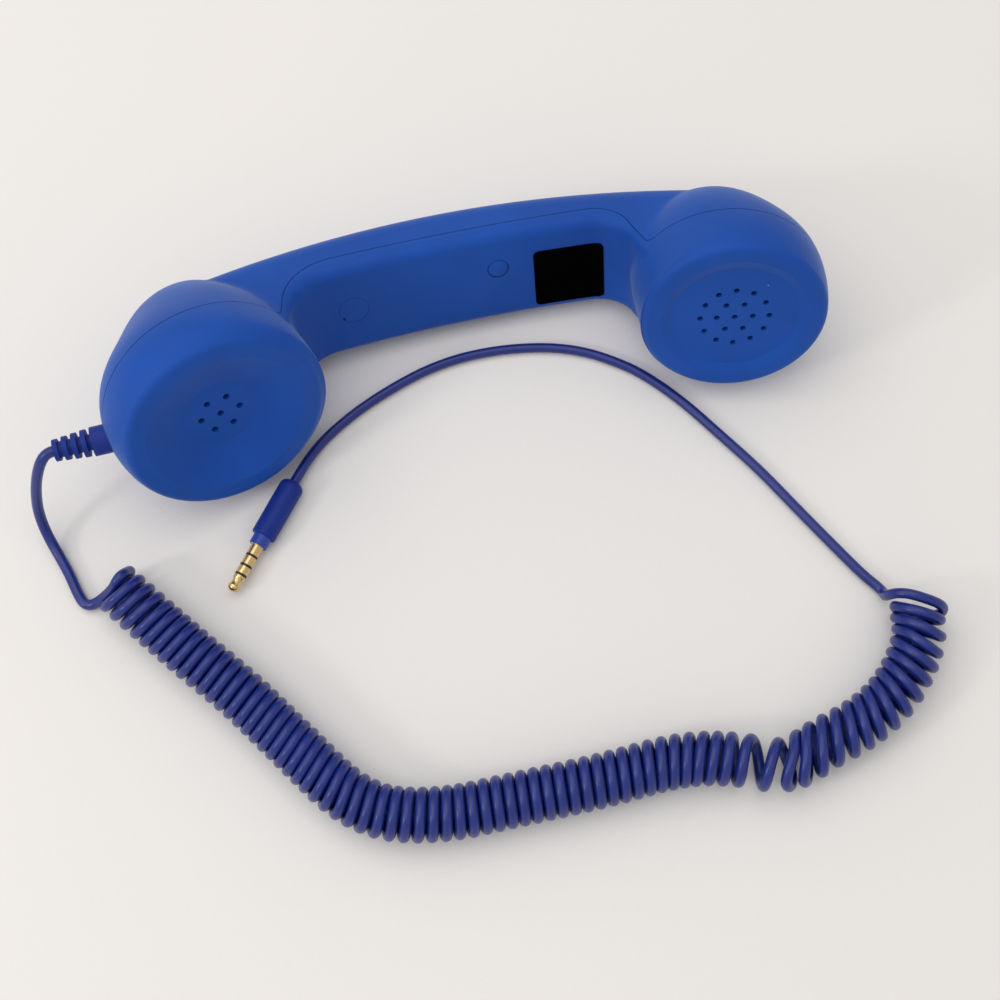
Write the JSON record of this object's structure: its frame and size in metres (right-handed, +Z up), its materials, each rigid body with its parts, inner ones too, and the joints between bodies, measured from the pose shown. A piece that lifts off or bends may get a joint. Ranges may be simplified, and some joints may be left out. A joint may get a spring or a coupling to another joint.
{
  "type": "telephone handset",
  "caption": "Retro telephone handset lying on a table: round mouth and ear cups on a bowed grip, a call button, and a curly cord ending in a headset plug.",
  "frame": {"origin": "under the middle of the shells' bounding box, on the surface that the handset lies on", "axes": "+X along the handset from the mouth cup to the ear cup, +Z up, the cups' faces towards -Y"},
  "size_m": [0.2367, 0.1812, 0.0591],
  "materials": {
    "soft_blue": "soft-touch matte",
    "label_black": "satin printed film",
    "cord_blue": "satin sheen",
    "contact_gold": "gold plated, polished",
    "insulator": "moulded",
    "steel": "zinc plated",
    "switch_black": "moulded",
    "board": "solder mask",
    "felt": "felt",
    "foam": "foam rubber",
    "cone": "thin film",
    "magnet": "ground",
    "capsule": "drawn",
    "wire": "insulation"
  },
  "bodies": {
    "handset": {"front_shell": "soft_blue", "back_shell": "soft_blue", "case_screws": "steel", "screw_cover_mouth": "soft_blue", "screw_cover_ear": "soft_blue", "label": "label_black", "switch_body": "switch_black", "switch_board": "board", "receiver_felt": "felt", "receiver_gasket": "foam", "receiver_cone": "cone", "receiver_frame": "steel", "receiver_magnet": "magnet", "microphone_felt": "felt", "microphone_boot": "foam", "microphone_capsule": "capsule", "strain_relief": "cord_blue", "cord_tail": "cord_blue", "microphone_wires": "wire", "receiver_wires": "wire", "handset_lead": "cord_blue", "coiled_cord": "cord_blue", "plug_lead": "cord_blue", "plug_tip": "contact_gold", "plug_insulator": "insulator", "plug_ring_front": "contact_gold", "plug_ring_rear": "contact_gold", "plug_sleeve": "contact_gold", "plug_collar": "cord_blue", "plug_boot": "cord_blue"},
    "call_button": {"call_button": "soft_blue", "switch_plunger": "switch_black"}
  },
  "joints": [
    {"name": "call_button_press", "type": "slide", "parent": "handset", "child": "call_button", "axis": [0.0304, 0.9365, -0.3494], "range_m": [0, 0.0005], "stiffness_N_per_m": 3000, "springref_m": -0.0002}
  ]
}
